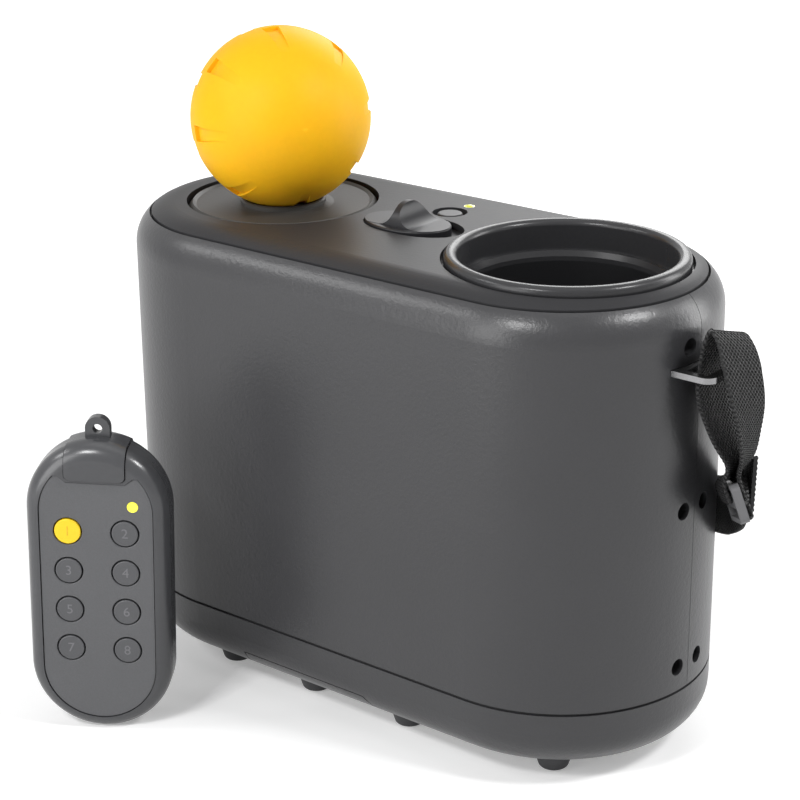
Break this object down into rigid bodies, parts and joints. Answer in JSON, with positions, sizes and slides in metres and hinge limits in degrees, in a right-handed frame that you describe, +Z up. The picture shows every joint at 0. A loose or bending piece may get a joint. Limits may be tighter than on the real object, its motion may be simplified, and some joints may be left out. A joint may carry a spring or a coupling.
{
  "type": "dog ball launcher",
  "caption": "Tall round-ended box that throws a ball from a sprung tube at one end, with a ball rest at the other, a webbing strap, a top slider, and a pocket remote control beside it.",
  "frame": {"origin": "on the floor under the middle of the casing", "axes": "+X towards the launch tube's end, -Y to the front that the picture shows, +Z up"},
  "size_m": [0.2675, 0.1769, 0.2342],
  "materials": {
    "casing": "moulded grain",
    "cover": "moulded grain",
    "dark_plastic": "satin",
    "gloss_black": "gloss",
    "handset_face": "fine grain",
    "handset_gloss": "gloss",
    "button_grey": "satin",
    "key_yellow": "satin",
    "lens": "clear gloss",
    "rubber_black": "matt",
    "tube_plastic": "satin",
    "steel": "satin",
    "screw_steel": "satin",
    "latch_steel": "satin",
    "ball_amber": "translucent",
    "webbing": "coarse weave",
    "buckle_grey": "satin",
    "board_green": "satin",
    "antenna_black": "matt",
    "battery_wrap": "gloss",
    "contact_brass": "satin",
    "cell_steel": "satin"
  },
  "bodies": {
    "casing": {"front_shell": "casing", "rear_shell": "casing", "top_cover": "cover", "base_tub": "casing", "base_seal": "dark_plastic", "feet": "rubber_black", "battery_pack": "battery_wrap", "battery_contacts": "contact_brass", "launch_collar": "gloss_black", "launch_tube": "tube_plastic", "tube_floor": "tube_plastic", "launch_spring": "steel", "latch_pin": "steel", "release_servo": "dark_plastic", "servo_mount": "dark_plastic", "ball_rest": "dark_plastic", "light_lens": "lens", "control_board": "board_green", "mode_switch": "dark_plastic", "power_switch": "dark_plastic", "main_board": "board_green", "antenna": "antenna_black", "end_post_right": "dark_plastic", "end_post_left": "dark_plastic", "shell_screws": "screw_steel", "base_screws": "screw_steel", "strap_loop_right": "steel", "strap_loop_left": "steel", "strap_end_loop": "webbing", "strap_adjuster": "buckle_grey", "strap_run": "webbing", "strap_tail": "webbing"},
    "plunger_carriage": {"plunger": "tube_plastic"},
    "latch": {"latch_lever": "latch_steel"},
    "pinion": {"servo_pinion": "latch_steel"},
    "slider": {"mode_slider": "dark_plastic"},
    "power": {"power_button": "button_grey"},
    "door": {"battery_door": "casing", "door_foot": "rubber_black"},
    "ball_body": {"ball": "ball_amber"},
    "handset": {"handset_front": "gloss_black", "handset_back": "gloss_black", "handset_panel": "handset_face", "handset_cap": "handset_gloss", "handset_light": "lens", "handset_board": "board_green", "handset_cell": "cell_steel", "handset_screws": "screw_steel"},
    "key_1": {"handset_key_1": "key_yellow"},
    "key_2": {"handset_key_2": "button_grey"},
    "key_3": {"handset_key_3": "button_grey"},
    "key_4": {"handset_key_4": "button_grey"},
    "key_5": {"handset_key_5": "button_grey"},
    "key_6": {"handset_key_6": "button_grey"},
    "key_7": {"handset_key_7": "button_grey"},
    "key_8": {"handset_key_8": "button_grey"}
  },
  "joints": [
    {"name": "plunger_slide", "type": "slide", "parent": "casing", "child": "plunger_carriage", "axis": [0, 0, 1], "range_m": [-0.07, 0], "stiffness_N_per_m": 400, "springref_m": 0.02, "deforming": ["launch_spring"]},
    {"name": "latch_turn", "type": "hinge", "parent": "casing", "child": "latch", "pos_m": [0.0198, 0, 0.08373], "axis": [0, 1, 0], "range_deg": [-8, 0]},
    {"name": "pinion_turn", "type": "hinge", "parent": "casing", "child": "pinion", "pos_m": [-0.00535, 0, 0.08373], "axis": [0, 1, 0], "range_deg": [0, 32]},
    {"name": "slider_slide", "type": "slide", "parent": "casing", "child": "slider", "axis": [1, 0, 0], "range_m": [0, 0.005]},
    {"name": "power_press", "type": "slide", "parent": "casing", "child": "power", "axis": [0, 0, -1], "range_m": [0, 0.0012], "stiffness_N_per_m": 800, "springref_m": -0.0005},
    {"name": "door_slide", "type": "slide", "parent": "casing", "child": "door", "axis": [0, -1, 0], "range_m": [0, 0.04]},
    {"name": "ball_lift", "type": "slide", "parent": "casing", "child": "ball_body", "axis": [0, 0, 1], "range_m": [0, 0.05]},
    {"name": "handset_lift", "type": "slide", "parent": "casing", "child": "handset", "axis": [0, 0, 1], "range_m": [0, 0.1]},
    {"name": "key_1_press", "type": "slide", "parent": "handset", "child": "key_1", "axis": [-0.5592, 0.829, 0], "range_m": [0, 0.0006], "stiffness_N_per_m": 1500, "springref_m": -0.0003},
    {"name": "key_2_press", "type": "slide", "parent": "handset", "child": "key_2", "axis": [-0.5592, 0.829, 0], "range_m": [0, 0.0006], "stiffness_N_per_m": 1500, "springref_m": -0.0003},
    {"name": "key_3_press", "type": "slide", "parent": "handset", "child": "key_3", "axis": [-0.5592, 0.829, 0], "range_m": [0, 0.0006], "stiffness_N_per_m": 1500, "springref_m": -0.0003},
    {"name": "key_4_press", "type": "slide", "parent": "handset", "child": "key_4", "axis": [-0.5592, 0.829, 0], "range_m": [0, 0.0006], "stiffness_N_per_m": 1500, "springref_m": -0.0003},
    {"name": "key_5_press", "type": "slide", "parent": "handset", "child": "key_5", "axis": [-0.5592, 0.829, 0], "range_m": [0, 0.0006], "stiffness_N_per_m": 1500, "springref_m": -0.0003},
    {"name": "key_6_press", "type": "slide", "parent": "handset", "child": "key_6", "axis": [-0.5592, 0.829, 0], "range_m": [0, 0.0006], "stiffness_N_per_m": 1500, "springref_m": -0.0003},
    {"name": "key_7_press", "type": "slide", "parent": "handset", "child": "key_7", "axis": [-0.5592, 0.829, 0], "range_m": [0, 0.0006], "stiffness_N_per_m": 1500, "springref_m": -0.0003},
    {"name": "key_8_press", "type": "slide", "parent": "handset", "child": "key_8", "axis": [-0.5592, 0.829, 0], "range_m": [0, 0.0006], "stiffness_N_per_m": 1500, "springref_m": -0.0003}
  ],
  "couplings": [
    {"joint": "pinion_turn", "follows": "latch_turn", "ratio": -4}
  ]
}
